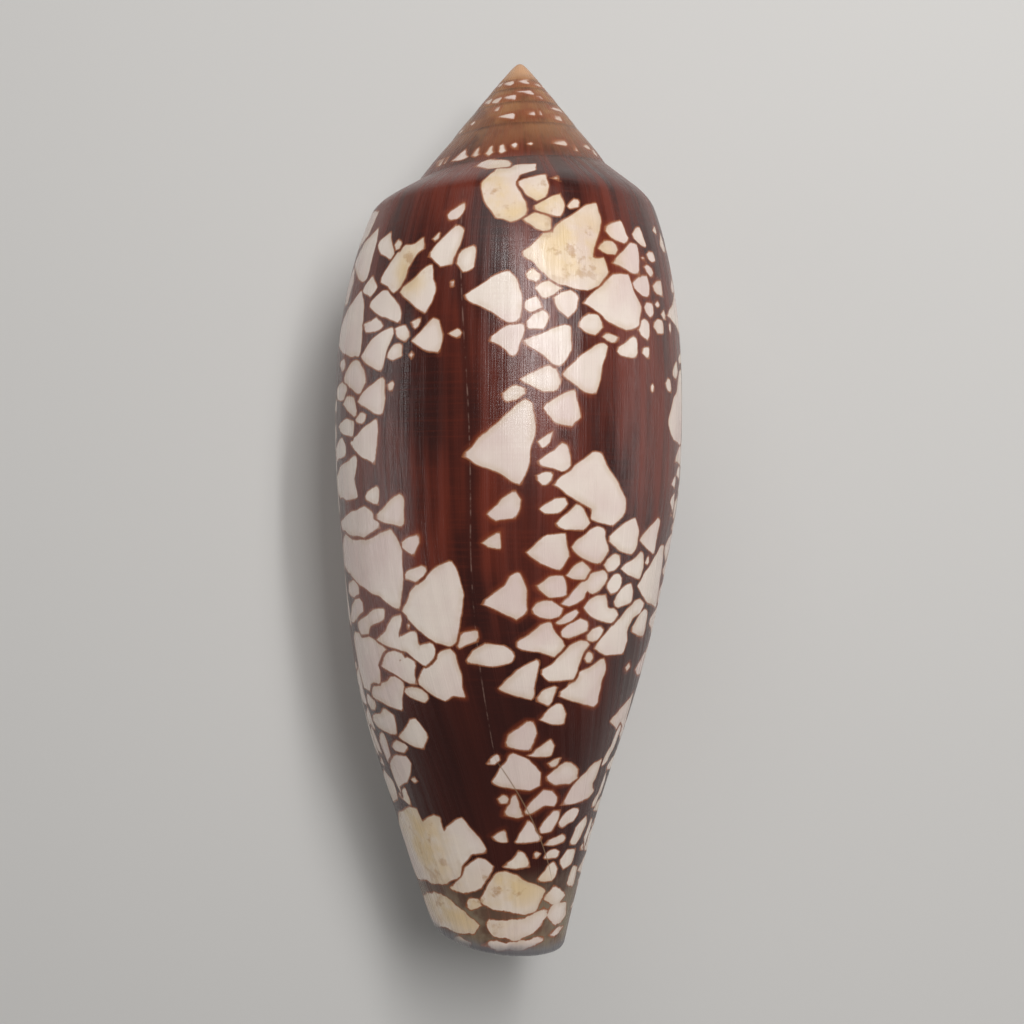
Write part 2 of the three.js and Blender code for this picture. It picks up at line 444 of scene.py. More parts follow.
# Where in a triangle freedom is tested, as shares of its first two corners. The middle comes first.
FREE_SPOTS = [(1 / 3, 1 / 3)] + [(i / 5, j / 5) for i in range(6) for j in range(6 - i)]


class Tent:
    """A pale tent: a polygon of (turn, depth) corners whose sides bulge where they face the lip."""

    def __init__(self, corners):
        corners = np.array(corners, float)
        self.middle = corners.mean(0)
        self.turn, self.depth = (float(place) for place in self.middle)
        self.mm = mm_per_degree(self.turn, self.depth)
        self.scale = np.array([self.mm, 1])
        self.outline = self.bulging((corners - self.middle) * self.scale)
        self.reach = np.linalg.norm(self.outline, axis=1).max()

    def bulging(self, corners):
        after = np.roll(corners, -1, 0)
        side = after - corners
        clockwise = np.sum(corners[:, 0] * after[:, 1] - corners[:, 1] * after[:, 0]) > 0
        out = np.stack([side[:, 1], -side[:, 0]], 1) * (1 if clockwise else -1)
        facing_lip = np.clip(-out[:, :1] / np.linalg.norm(side, axis=1, keepdims=True), 0, 1)
        middles = (corners + after) / 2 + out * (0.01 + 0.025 * facing_lip)
        return np.stack([corners, middles], 1).reshape(-1, 2)

    def inside_by(self, turn, depth):
        """How far inside the tent points are, in millimetres: negative outside it."""
        points = (np.stack([turn, depth], -1) - self.middle) * self.scale
        nearest = np.full(points.shape[0], np.inf)
        inside = np.zeros(points.shape[0], bool)
        for a, b in zip(self.outline, np.roll(self.outline, -1, 0)):
            side, at = b - a, points - a
            along = np.clip(at @ side / (side @ side), 0, 1)[:, None]
            nearest = np.minimum(nearest, np.linalg.norm(at - along * side, axis=1))
            if a[1] != b[1]:
                crosses = (a[1] > points[:, 1]) != (b[1] > points[:, 1])
                inside ^= crosses & (at[:, 0] < side[0] * at[:, 1] / side[1])
        return np.where(inside, nearest, -nearest)

    def near(self, other, gap=LINE):
        """Whether another tent lies within the gap of this one."""
        most = self.reach + other.reach + gap
        if abs(other.turn - self.turn) * self.mm > most or abs(other.depth - self.depth) > most:
            return False
        corners = other.middle + other.outline / other.scale
        return self.inside_by(*corners.T).max() > -gap


def mm_per_degree(turn, depth):
    return float(outside_radius(turn, np.minimum(depth, LENGTH))) * math.pi / 180


def scatter_tents(draw, tents, turns, depths, sizes):
    """Fills a stretch of the shell with tents of several sizes, the large ones first."""
    for size, tries in sizes:
        for _ in range(tries):
            turn, depth = draw.uniform(*turns), draw.uniform(*depths)
            mm = mm_per_degree(turn, depth)
            width, height = size * draw.uniform(0.8, 1.2), size * draw.uniform(0.65, 1.05)
            lean, slant = draw.uniform(-0.05, 0.3), draw.uniform(-0.12, 0.12)
            low = draw.uniform(0.35, 0.55)
            bare = crowding(turn * mm, depth) < draw.uniform(-0.1, 0.25)
            if bare or depth + height / 2 > base_depth(turn) - 1:
                continue
            corners = [
                (turn - width / 2 / mm, depth + lean * height),
                (turn + (0.5 + slant) * width / mm, depth - height / 2),
                (turn + (0.5 - slant) * width / mm, depth + low * height),
            ]
            tent = Tent(corners)
            if free_share(tent, corners, tents) > LEAST_FREE:
                tents.append(tent)


def crowding(x, depth):
    """Where tents crowd: in slanting clusters that leave dark bands between them."""
    return float(ripples(x, depth * 1.2, 21, 6, 34)) + 0.1


def free_share(tent, corners, tents):
    """The share of a tent that older tents leave free."""
    a, b, c = (np.array(corner) for corner in corners)
    spots = np.array([a * i + b * j + c * (1 - i - j) for i, j in FREE_SPOTS])
    free = np.ones(len(spots), bool)
    for other in tents:
        if tent.near(other):
            free &= other.inside_by(*spots.T) < -LINE
    return free.mean() if free[0] else 0


def paint_tents(shell, tents):
    """Writes how far inside a tent each point of the mesh is, in one attribute for each layer."""
    mesh = shell.data
    turn, depth, which = read_places(mesh)
    around = turn * np.pi / 180 * outside_radius(turn, depth)
    wobble = 0.16 * ripples(around, depth, 31, 9, 4.5) + 0.07 * ripples(around, depth, 32, 9, 1.8)
    wobble_down = 0.16 * ripples(around, depth, 33, 9, 4.5) + 0.07 * ripples(around, depth, 34, 9, 1.8)
    mm = np.maximum(outside_radius(turn, depth), 0.5) * np.pi / 180
    turn, depth = turn + wobble / mm, depth + wobble_down
    layers = np.full((LAYERS, len(turn)), -OUTSIDE)
    used = []
    for i, tent in enumerate(tents):
        older = [j for j in range(i) if tent.near(tents[j], APART) or tents[j].near(tent, APART)]
        taken = {used[j] for j in older}
        layer = next((k for k in range(LAYERS) if k not in taken), i % LAYERS)
        used.append(layer)
        close = np.abs(turn - tent.middle[0]) * tent.scale[0] < tent.reach + OUTSIDE
        close &= np.abs(depth - tent.middle[1]) < tent.reach + OUTSIDE
        spots = np.flatnonzero(close)
        inside = tent.inside_by(turn[spots], depth[spots])
        for j in older:
            inside = np.minimum(inside, -tents[j].inside_by(turn[spots], depth[spots]) - LINE)
        layers[layer, spots] = np.maximum(layers[layer, spots], inside)
    for k, values in enumerate(layers):
        write_field(mesh, f"tents_{k}", values[which])


# Tents of the front, as (turn, depth) corners. Where two overlap, the first is on top.
TENTS = [
    # On the whorl before, along the suture.
    [(461.5, 14.2), (468, 12.9), (473.5, 14.1), (469, 14.4)],
    [(473.8, 14), (478, 12.8), (481.5, 13.7), (478, 14.2)],
    [(482, 13.8), (487, 12.7), (490, 13.5), (486, 14.2)],
    [(490.5, 13.4), (494, 12.6), (496.8, 13.5), (494, 13.9)],
    [(498, 13.2), (502, 12.5), (505, 13.4)],
    [(509, 12.7), (513, 12.2), (514, 12.9)],
    # Top of the whorl.
    [(122, 15.9), (127, 14.8), (135, 14.8), (141.7, 15.7), (140, 16.4), (131, 16.4)],
    [(130.5, 18.5), (135, 16.7), (142.7, 16), (152.8, 15.8), (151.3, 16.8), (145.1, 17.6), (143.2, 18.7),
     (146.5, 20.8), (148, 22.4), (142.7, 23.5), (137, 23), (132.1, 20.7)],
    [(143.2, 18.7), (155.7, 17.5), (155, 20.1), (151.3, 20.8), (147.5, 20.3)],
    [(156.6, 17.9), (161, 17.5), (160, 18.2)],
    [(149, 21.8), (156.2, 20.3), (160.5, 19.9), (161, 21.6), (159, 22.7), (152.3, 22.4)],
    [(161.5, 21.2), (165, 20.3), (167.5, 20.4), (166.5, 21.3), (163, 21.6)],
    [(145.1, 23.2), (151.3, 22.3), (155.7, 23), (155.7, 24.3), (153.3, 24.5), (147.5, 23.7)],
    [(145.4, 27.2), (160, 23), (170, 21), (174, 20.6), (175, 22.8), (171, 26), (170, 27.3), (174, 27),
     (176, 28.8), (173, 29.7), (171, 30.5), (167, 31.2), (161.9, 31), (153.3, 29.7), (148.5, 28.2)],
    [(88.2, 24.5), (95.1, 23.3), (97, 24.7), (98.9, 26.4), (97.5, 27), (91.7, 25.8)],
    [(98, 25.3), (99.5, 24.6), (102, 25), (101.5, 25.9), (99, 26)],
    [(93.8, 29.1), (103.3, 25.3), (108.1, 25.3), (111.4, 24.7), (112.9, 26), (110.2, 26.8),
     (107.1, 28.5), (105.2, 30.5), (102.8, 31.2), (98.5, 30.1)],
    [(104.7, 31), (113.8, 28.2), (115.8, 28.3), (117.7, 30.5), (117.2, 32.8), (115.8, 33.7),
     (111.9, 33.2), (107.1, 31.8)],
    [(114.6, 25), (116.7, 24.3), (117.7, 24.8), (116.2, 25.5)],
    [(118.8, 22.4), (124.9, 20.9), (125.2, 22), (123.5, 23), (120.1, 23.1)],
    [(113.8, 27.1), (122.9, 23.6), (126.1, 24.2), (125.5, 26), (123.5, 28.3), (119, 28.5)],
    [(123, 27.2), (130.2, 26.1), (130.7, 28.9), (127, 29.2)],
    [(122.5, 30.4), (124, 29.9), (125, 30.7), (123.5, 31)],
    # Left of the middle, down to the waist.
    [(84.7, 30), (90, 28.6), (93.5, 30), (90.4, 31.2)],
    [(90, 32), (96.5, 30.5), (99.4, 30.7), (104.2, 32.4), (106.3, 33.5), (106.2, 34.6), (102.3, 34.3),
     (94.6, 33.2)],
    [(88.4, 34.3), (95, 33.6), (99.5, 35), (95, 35.5), (90, 35.2)],
    [(87.7, 38.2), (94.6, 36.2), (102.8, 35), (103.3, 35.7), (100.9, 38.2), (98.9, 39.9), (97.5, 39.8),
     (91.7, 38.9)],
    [(103.8, 35.1), (108.1, 34.9), (110.5, 36.2), (108.6, 37.2), (104.7, 36.2)],
    [(110.2, 34.7), (113.8, 34), (114, 34.9), (111.9, 35.5)],
    [(110.8, 36.9), (118.2, 34.4), (119.8, 34.7), (121.5, 36.6), (120.4, 38.5), (116.7, 38.2)],
    [(100.9, 38.3), (104.2, 37), (107.6, 37.4), (107.6, 38.8), (104.2, 38.9)],
    [(110, 38.5), (111.5, 38.1), (112.4, 38.6), (111, 38.9)],
    [(100.9, 42), (103.5, 41.3), (104.7, 41.7), (103.5, 42.7)],
    [(86.9, 43.3), (99.4, 40.7), (100.4, 41.2), (100.9, 43.5), (99.4, 45), (93.5, 44.5)],
    [(123, 36.3), (126.5, 35.5), (127.5, 36.2), (126.5, 36.8)],
    [(68, 25.9), (75.8, 23.8), (85.2, 22.5), (87.3, 24.3), (86.3, 28.8), (83.1, 29), (75.8, 27.6)],
    [(64, 21), (66, 19.5), (80, 20), (78, 23), (66, 24)],
    [(63, 28), (70, 26.5), (74, 28.5), (71, 31), (64, 31)],
    [(63, 34), (84, 30), (87.3, 32), (88.3, 36), (87.3, 38.2), (76, 37.4), (64, 36)],
    [(69, 38.4), (76, 37.9), (77.3, 38.9), (75, 39.5)],
    [(75.8, 40.5), (81, 38.6), (86.3, 38.3), (91, 39.7), (91.7, 41.3), (89.4, 42.5), (85.2, 42.4),
     (80, 41.1)],
    [(66, 41.5), (78, 40.5), (80, 42), (77, 43), (69, 42.6)],
    [(76, 43.4), (80, 42.6), (85, 43), (86.8, 44.7), (84.7, 45.1)],
    [(85.2, 45.5), (89.4, 44.5), (93, 45.1), (90.4, 46)],
    [(70, 46), (80, 45.2), (85, 45.5), (84, 47.8), (76, 47)],
    [(81.6, 48.4), (97.2, 45.4), (97.9, 46.8), (96.1, 50.7), (89.4, 49.9)],
    [(64, 48.7), (75, 47.4), (78, 48.5), (78, 49.6), (66, 50)],
    [(62, 52), (85.2, 49.7), (86.3, 50.3), (83.6, 52.6), (85.2, 54.7), (76, 54.9), (64, 54.3)],
    [(89.4, 54.9), (96, 53.2), (97.5, 53.6), (97, 55.5), (93.5, 55.5)],
    [(94, 57), (106.6, 54.2), (108.1, 54.7), (107.1, 57.6), (106, 58), (98.8, 57.6)],
    # Middle and right, down to the waist.
    [(127.3, 32.2), (134, 30.5), (141.7, 28.9), (144.6, 30.1), (145.4, 32), (145.1, 34.7), (141.7, 35),
     (133.1, 33.3)],
    [(146.5, 29.3), (149, 28.9), (151.8, 29.7), (150.4, 30.5), (147.5, 30.3)],
    [(149.2, 31), (154.2, 30.1), (159, 30.8), (156.2, 31.8), (152.3, 32.4)],
    [(155.2, 32), (161, 31.2), (163.8, 32), (163.4, 33.5), (160, 34.3), (156.2, 33.2)],
    [(145, 33), (150, 32.2), (152, 33.5), (148, 34)],
    [(146.5, 35), (151.3, 33.5), (154.2, 34.3), (152.3, 35.8), (147.5, 35.8)],
    [(136, 37.2), (142.7, 35), (146.5, 35.2), (144.6, 38.5), (142.7, 38.9)],
    [(146, 37.2), (152.3, 36.2), (159, 34.9), (161, 35.1), (160.5, 38.2), (158.1, 39.9), (155.2, 39.9),
     (150.4, 38.5)],
    [(162.8, 35.2), (167, 34.1), (170, 34), (172.8, 35), (169, 36.1), (165, 36)],
    [(157.6, 41), (163, 39), (169, 37.3), (172, 37), (173.5, 37.5), (171.5, 40.5), (169, 42.9),
     (164.8, 42.6)],
    [(144.6, 41.6), (150.4, 40.3), (155.7, 39.9), (158.1, 41.2), (156.2, 42.8), (152.3, 42.8)],
    [(139.8, 43.3), (143.7, 42.2), (147, 42.8), (144.6, 44.1), (140.8, 44.1)],
    [(152, 44.5), (162, 42.5), (163.5, 45.5), (161, 46.8), (155, 46)],
    # Right, above the waist.
    [(165.2, 32.8), (171, 30.8), (177, 29), (184, 28.8), (185.5, 30.5), (188.5, 32.2), (187, 34.8),
     (181, 35.5), (172, 34)],
    [(175, 23.8), (180, 22.8), (184.5, 22.3), (187, 24.5), (184, 25), (180, 24.7)],
    [(188.5, 24), (192, 23), (195, 22.7), (196.5, 25), (193, 24.8)],
    [(172, 26), (175.5, 24.9), (179, 24.9), (181, 25.7), (179, 26.8), (176, 26.7)],
    [(177, 27.8), (183, 26), (187.5, 24.9), (190.5, 25), (191, 27), (190, 28.7), (181, 28.2)],
    [(195, 26.2), (198, 25.4), (201, 25.3), (201.8, 26.5), (199, 26.7)],
    [(192, 26.6), (194, 26.3), (194.8, 26.9)],
    [(192.5, 27.8), (195, 27.2), (198, 27.6), (198.5, 28.4), (196, 28.6)],
    [(185.5, 29.9), (189, 29), (194, 28.6), (195, 29.5), (194, 31), (190, 30.9)],
    [(196.5, 29.8), (200, 28.9), (203.5, 28.8), (204, 30.6), (199, 30.5)],
    [(189.5, 32.7), (192, 31.8), (195.3, 31.9), (195.8, 33.2), (193.5, 33.7)],
    [(196.5, 31.8), (199, 31.3), (200.5, 32), (198.5, 32.3)],
    [(200.5, 33), (203.5, 32.2), (204.5, 33.4), (202, 33.5)],
    [(185.5, 34.9), (190, 34), (193, 34.2), (192.5, 35.8), (191.5, 36.2), (188, 35.7)],
    [(194.5, 34.2), (198, 33.6), (201, 33.8), (200.5, 35.2), (197.5, 35.3)],
    [(205.5, 34.2), (208, 33.6), (209, 34.4), (207, 35)],
    [(171.5, 36.2), (173.5, 35.6), (176.5, 35.9), (178, 36.4), (175.5, 37), (173, 36.8)],
    [(176.5, 37.8), (181, 36.7), (184.5, 35.9), (186.2, 36.4), (185, 38.6), (179, 38.5)],
    [(187, 37.7), (190, 37), (192.4, 36.9), (192.3, 38.3), (190, 38.4)],
    [(191.5, 41.9), (193.5, 41.2), (194.8, 42), (193, 42.4)],
    [(200.5, 41.2), (203, 40.5), (205, 40.6), (206.3, 42), (203, 41.9)],
    [(207.5, 39.8), (211, 38.4), (214, 38), (214.5, 39.4), (211, 40.2)],
    [(203, 45.6), (207, 43.5), (212, 41.5), (217, 39), (222, 39), (222, 47.5), (217, 48.3), (209, 47.6)],
    [(216, 37.3), (219, 36.8), (224, 36.6), (224, 38), (217, 38.1)],
    [(205, 22.8), (209, 21.8), (209.5, 22.8)],
    [(209, 24), (215, 22.5), (218, 24.5), (213, 24.6)],
    # Left, below the waist.
    [(62, 58), (89.4, 55.6), (93, 56.4), (97, 58.1), (91, 58.9), (87.5, 59.6), (70, 58.8)],
    [(63, 60.5), (72, 58.8), (88, 59.9), (94, 59.2), (101.5, 58.2), (105.5, 61), (104.2, 64),
     (99.5, 67.9), (92, 66.3), (80, 65.2), (72, 63.8), (63, 63.3)],
    [(104.5, 60.3), (109, 59.2), (112, 59), (112.5, 59.8), (110.2, 61.3)],
    [(104, 64), (108.5, 62.9), (112, 62.3), (114, 62.7), (112.2, 63.8), (109.8, 64.5), (105.5, 64.2)],
    [(100, 67.9), (114.5, 63.3), (122.7, 61.8), (124.6, 63.5), (125.3, 65.8), (120.5, 71.2),
     (118.5, 71.6), (112, 71.2), (106.5, 70)],
    [(65, 66.1), (68, 65), (75, 64.7), (78.4, 65.3), (78, 66.3), (73, 66.8)],
    [(63, 69), (70, 67.4), (78, 66.8), (80, 67.2), (79.5, 68.3), (72, 69.4), (63, 70)],
    [(72, 70), (82, 68.6), (90, 67.7), (93.5, 67.7), (92, 69), (82, 70), (80, 70.9), (74, 71.3)],
    [(84.5, 71.6), (91, 70.3), (97, 68.5), (99.8, 68.3), (100, 69.2), (97, 70.9), (103.5, 70.2),
     (106, 70.1), (105, 71.8), (110.5, 71.2), (111.6, 71.8), (110.5, 73), (106, 74.2), (99, 72.7),
     (93, 72.3)],
    [(101, 69.9), (103, 69.3), (103.5, 69.8), (102, 70.2)],
    [(63, 72), (66, 71), (80, 71.2), (90, 72.3), (81.8, 74.3), (82, 75.2), (80, 76.8), (72, 77.3),
     (70, 78.1), (63, 78)],
    [(83.8, 74.5), (89.5, 72.9), (95.5, 72.3), (98.3, 73), (94, 74), (99, 73.4), (102.5, 73.9),
     (100.3, 75.3), (100, 76.4), (97, 76.4), (91, 75.6)],
    [(100, 76.2), (107, 74), (113, 72.3), (117.5, 71.8), (119.3, 72.3), (118.2, 77.6), (113.5, 77.5),
     (110, 78.1), (105, 77.4)],
    [(68, 78.5), (78, 77), (88, 75.8), (92, 75.9), (94, 76.6), (91, 78), (88.5, 79.9), (82, 79.5)],
    [(92, 77.5), (97, 76.6), (101, 76.9), (103.2, 77.7), (101, 78.5), (95, 78.2)],
    [(62, 79.7), (65, 78.6), (71, 78.9), (72, 79.5), (69, 80.4), (65, 80.6)],
    [(62, 81.6), (70, 80.8), (78, 79.9), (83, 80.5), (80, 83), (75, 83), (66, 82.5)],
    [(79.5, 83.4), (86, 82), (91, 80.8), (94, 80.6), (97, 82.5), (93, 84.1), (87, 83.9)],
    [(72, 84.5), (78, 83.7), (83, 84), (84.5, 84.5), (80, 85.2), (74, 85)],
    [(62, 84.5), (66, 83.5), (70, 82.7), (70, 84), (69, 85.8), (63, 87)],
    [(62, 89), (64, 86.6), (74, 85.4), (80.5, 85.6), (81.5, 86.3), (74, 89), (65, 89.7), (64, 91)],
    [(76.5, 88.5), (81, 87.8), (82, 88.2), (79, 88.7)],
    # Middle, below the waist.
    [(128, 50), (137, 46.8), (146.5, 43.8), (149.3, 44.2), (149.3, 47), (148, 50.5), (146, 53.2),
     (140, 52.3)],
    [(150, 48.4), (154.8, 47.2), (154.5, 48.6), (152, 49.1)],
    [(150.2, 50.6), (156, 49.3), (158, 48.5), (159.8, 48.9), (161.3, 51), (158.2, 51.9), (153.5, 51.3)],
    [(149.5, 52.3), (152.5, 51.8), (155.3, 52), (154.8, 53.1), (152.3, 53.4)],
    [(155.2, 53.3), (161, 51.3), (168.5, 49.6), (171.2, 49.7), (174.2, 51.4), (177.5, 52.6), (181.2, 55),
     (181.3, 56.5), (177, 58), (168.5, 56.9), (169.3, 55.9), (160, 54.4)],
    [(151, 55.8), (156, 54.8), (159.5, 54.8), (160.3, 55.6), (157.5, 56.4), (153, 56.4)],
    [(155.8, 57.9), (163.5, 55.4), (165.8, 55.8), (168.2, 57.4), (166.2, 58.3), (159.5, 58.6)],
    [(135, 56.5), (144, 53.8), (145.5, 55), (144, 57), (138, 57.3)],
    [(133, 59.8), (139.5, 58.4), (139, 60.5), (135, 60.3)],
    [(146.8, 60.7), (154.5, 58.8), (159.8, 58.9), (161.6, 61.2), (157.5, 63.1), (151.5, 62.1)],
    [(161.8, 60.4), (168, 58.4), (171.5, 57.8), (174.8, 58.3), (174.5, 59.5), (176.3, 61), (172.5, 62.2),
     (167, 61.6)],
    [(175.3, 59.6), (181.5, 57.6), (187, 57), (189.4, 58.3), (189.2, 60.4), (186.8, 61.1),
     (180.5, 60.8)],
    [(190.2, 59.8), (195.2, 58), (200, 56.9), (201.9, 57.4), (201.5, 61.2), (195, 60.6)],
    [(173.8, 62.2), (178.5, 61.1), (181.5, 61.3), (182, 62.3), (180, 63.1), (176, 63.2)],
    [(181.7, 62.7), (187.5, 61.8), (191.5, 60.9), (193.5, 61.1), (194.8, 62.8), (192.8, 64.3),
     (186, 63.6)],
    [(195, 62.2), (197, 61.4), (198.5, 61.9), (197, 62.6)],
    [(192, 65), (206.5, 60.3), (209.5, 60.4), (213, 65), (215, 67.8), (207, 67.5), (199.5, 66.7)],
    [(159.8, 63.6), (163, 62.3), (166.3, 61.7), (169.3, 62.9), (167.5, 64), (162, 64)],
    [(149.8, 64.9), (154.5, 63.7), (159.3, 63.7), (160.8, 64.8), (160, 65.8), (154, 66)],
    [(157.6, 66.6), (163.5, 65.1), (169, 63.4), (174, 62.9), (176.3, 63.7), (173, 65.4), (170, 65.8),
     (167.5, 65.3), (166.8, 66.2), (160.5, 66.9)],
    [(175, 64.9), (178.5, 63.7), (182, 63.5), (183.6, 64.3), (181.5, 65.5), (178, 65.7)],
    [(179.3, 66.7), (183.5, 65.2), (188, 64.7), (190, 65.4), (189.5, 67), (182, 67.3)],
    [(131.5, 66.8), (139, 64.4), (144.5, 63.1), (147, 65), (145.5, 67.6), (142, 68.5), (137, 67.6)],
    [(147, 67.6), (150, 66.5), (154.5, 66.2), (158.6, 67.2), (157.5, 68.2), (153.5, 68.6), (150, 68.4)],
    [(165.6, 67.3), (170, 66), (175.8, 65.7), (177, 67.3), (180, 67.3), (182.8, 68), (180, 69.3),
     (176, 69.2), (169, 68.2)],
    [(155.5, 69.2), (159.5, 68), (163, 67.3), (164.5, 67.7), (162, 68.7), (158, 69.3)],
    [(157.3, 70.4), (161, 69.2), (165, 68.4), (168.3, 68.9), (168, 69.9), (163.5, 70.6), (160, 70.9)],
    [(170.5, 72), (181.5, 69), (191, 66.8), (195, 66.4), (198.7, 67), (196, 68.2), (191, 68.8),
     (188.2, 70.2), (188.5, 71.5), (187, 72.9), (176, 72.9)],
    [(190.2, 70.3), (199.5, 67.6), (203, 68), (203.5, 70.5), (202, 71.2), (196, 71)],
    [(167, 70.9), (170, 69.8), (173.5, 69.5), (175.3, 69.9), (173.5, 70.9), (170, 71.3)],
    [(140, 71.4), (145, 70.4), (150, 69.2), (154, 69), (155.5, 70.2), (158.8, 71.4), (154, 73),
     (148, 72.2), (142, 72)],
    [(148, 74.6), (154, 73.4), (160, 71.6), (165, 71.1), (168.8, 71.4), (165, 73), (163, 75),
     (161, 75.8), (151, 75.7)],
    [(165.3, 73), (168.5, 72.3), (171.3, 72.8), (169.5, 73.6), (167, 73.6)],
    [(119, 71.6), (122, 70.4), (126, 69.9), (128, 69.8), (127.5, 71), (121, 72)],
    [(121.5, 73.6), (125, 72.3), (130, 71.2), (137, 71.3), (140, 72.4), (138, 73.6), (130, 74)],
    [(131.7, 76.6), (137, 75), (142, 74), (147.5, 73), (148.8, 73.3), (146, 75.5), (143.5, 77.6),
     (138, 77.3)],
    [(144.4, 77.6), (149, 76.7), (153, 76.2), (154.7, 76.5), (151.5, 78.2), (149.8, 78.6)],
    [(153.5, 77.4), (160, 75.9), (168, 74.2), (174, 73.3), (176, 73.3), (176.5, 75), (174, 76.5),
     (173.5, 78.7), (171, 79), (159, 78)],
    [(189, 75), (192, 74.2), (193.5, 74.8), (191, 75.4)],
    [(199, 75.3), (206, 74), (215, 72.8), (215, 76), (206, 76)],
    [(209, 53), (213, 51.5), (214, 53.5)],
    [(210, 55), (214, 54), (216, 56.5)],
    # Low down, towards the base.
    [(145, 80.2), (150, 79), (154, 78.4), (156, 78.6), (157.2, 79.8), (156, 81), (151, 80.9)],
    [(128.5, 83.3), (134, 81.7), (140, 80.5), (142.5, 80.5), (143.2, 81.8), (140, 83.9), (134, 83.7)],
    [(138, 84.6), (143, 83.7), (149, 82.6), (150.8, 83.6), (149, 84.7), (143, 84.7)],
    [(120, 85.5), (124, 84.4), (125.4, 84.9), (123.5, 85.7)],
    [(146.5, 85.6), (151, 85.1), (154.2, 85), (151.5, 86), (148.5, 86.1)],
    [(119.5, 88), (125, 86.3), (129, 85), (132, 84.3), (134.5, 84.6), (139, 85.1), (142.8, 86.8),
     (142, 88.2), (137, 88.9), (128.5, 88.6)],
    [(144.5, 87.6), (150, 86.5), (156, 85.6), (160, 85.8), (164.5, 86.8), (165.7, 87.8), (160, 88.5),
     (150, 88.4)],
    [(119.3, 90), (123, 89.2), (126, 89.6), (125.5, 90.3), (121.5, 90.4)],
    [(121, 92), (125, 90.8), (128, 89.5), (130, 89.4), (132.5, 92), (128, 92.4)],
    [(132, 91.8), (138, 90.3), (144, 88.8), (148, 88.9), (152, 90), (150.5, 91.2), (145, 91),
     (138, 91.7)],
    [(125.5, 95.3), (131, 93.8), (134, 92.5), (136, 92.8), (139, 94.2), (143.5, 95), (140, 95.4)],
    [(112.7, 94.8), (117, 94), (120.5, 93.8), (122.3, 95.2), (118, 95.2)],
    [(139, 94), (145, 92.6), (150, 91.8), (154.5, 91.8), (152, 93.2), (148, 94.1), (142, 94.3)],
    [(152.5, 93.4), (158, 92.3), (163, 91.6), (168, 91.8), (169, 92.4), (165, 93.5), (156, 93.9)],
    [(153.5, 91), (160, 89.3), (168, 87.7), (175, 86.2), (183, 85.9), (178, 89), (181, 90), (176, 90.8),
     (165, 90.9)],
    [(162.5, 96.2), (168, 94.5), (174, 93.5), (178, 93), (179.5, 94), (175, 95.8), (170, 96.5)],
    [(143.5, 95.8), (150, 95), (156, 94.6), (160, 95), (158, 95.8), (150, 96.1)],
    [(142.5, 97.6), (147, 96.7), (152, 96.6), (156, 97.2), (152, 97.8)],
    [(116.5, 98.5), (122, 97.8), (128, 96.3), (131, 96.7), (133.3, 98.5), (125, 98.7)],
    [(135, 97.2), (138, 96.6), (141, 97), (138, 97.4)],
    [(139.5, 100.2), (145, 98.7), (150, 98.2), (155, 99.3), (150, 100.4)],
    [(183, 87), (190, 84.5), (196, 82), (199, 82.5), (195, 85), (190, 86.5)],
    [(182, 92), (188, 90.5), (194, 88), (196, 90), (188, 92.2)],
    [(181, 96), (186, 93.5), (190, 94), (186, 97.5)],
    [(155, 98.3), (162, 97), (172, 97.2), (168, 99), (160, 99.5)],
    # Round the base.
    [(34, 96.5), (50, 93.6), (68, 92.2), (74, 92), (74.5, 93.6), (84, 92.4), (87.5, 92.6), (87, 94.3),
     (93, 93.3), (100, 92.5), (103.5, 93.8), (107, 95), (108.8, 96.7), (100, 97), (91, 98.8), (88, 99.8),
     (82, 100.6), (65, 101.6), (34, 102)],
    [(79.5, 101.7), (86, 100.5), (91, 99.4), (98, 98), (103, 97.4), (107, 97.6), (111, 98.5),
     (105, 100.2), (101, 101.2), (96, 101.7), (88, 102.2)],
    [(99, 103), (103, 101.3), (108, 100), (112, 99.3), (118, 99), (125, 99.5), (131, 100.6), (138, 101),
     (143.5, 101.6), (137, 103.9), (128, 104.5), (106, 104.2)],
    [(98, 106.5), (102, 105.1), (115, 105.3), (128, 105.3), (144, 104.4), (147, 104.7), (144, 106),
     (136, 107), (120, 107.6), (104, 107.5)],
    [(87, 103.5), (93, 102.7), (98, 102.8), (99, 103.4), (90, 104)],
    [(36, 105), (52, 103.4), (68, 102.9), (76, 103.6), (84, 104.8), (91.5, 106.2), (88, 107),
     (40, 107.8)],
    [(146, 102.6), (152, 101.3), (158, 101.8), (164, 103), (158, 103.6)],
    [(150, 105), (158, 104), (168, 104.5), (172, 105.5), (160, 106.5)],
    [(166, 101.5), (172, 99.5), (178, 99.8), (176, 102)],
    [(40, 90), (52, 88.2), (60, 89.3), (58, 91.5), (46, 92.4)],
    [(66, 108.9), (74, 108.2), (82, 108.6), (76, 109.4)],
    [(92, 108.8), (104, 108.2), (122, 108.3), (140, 107.9), (146, 108.2), (128, 109), (106, 109.3)],
    [(152, 107.6), (162, 107.2), (170, 107.4), (160, 108.2)],
]

FRONT = 62, 222  # the turns that the tents above cover
FRONT_DASHES = 455, 520  # the turns of the whorl before that have their dashes in the list above

# The tents of the sides and back: how long they are, and how many places are tried for each length.
SIZES = (9, 220), (6.5, 350), (4.4, 700), (2.9, 1100), (1.8, 1000)
SMALL_SIZES = (6, 60), (3.8, 120), (2.2, 120)  # low on the right, between the tents above
DASH_STEP = 9  # degrees between dashes on the body whorl; they stand further apart up the spire

# Where the glaze is stained or worn to ochre: turn, depth, and how far it reaches each way in millimetres.
STAINS = [
    (134, 20, 3, 4), (143, 22.6, 2.5, 1.6), (153, 21, 4, 3.5), (162, 26, 6, 5), (108, 28.5, 2.5, 3.5),
    (68, 96, 5, 6), (118, 101, 6, 3), (85, 104, 8, 4),
]


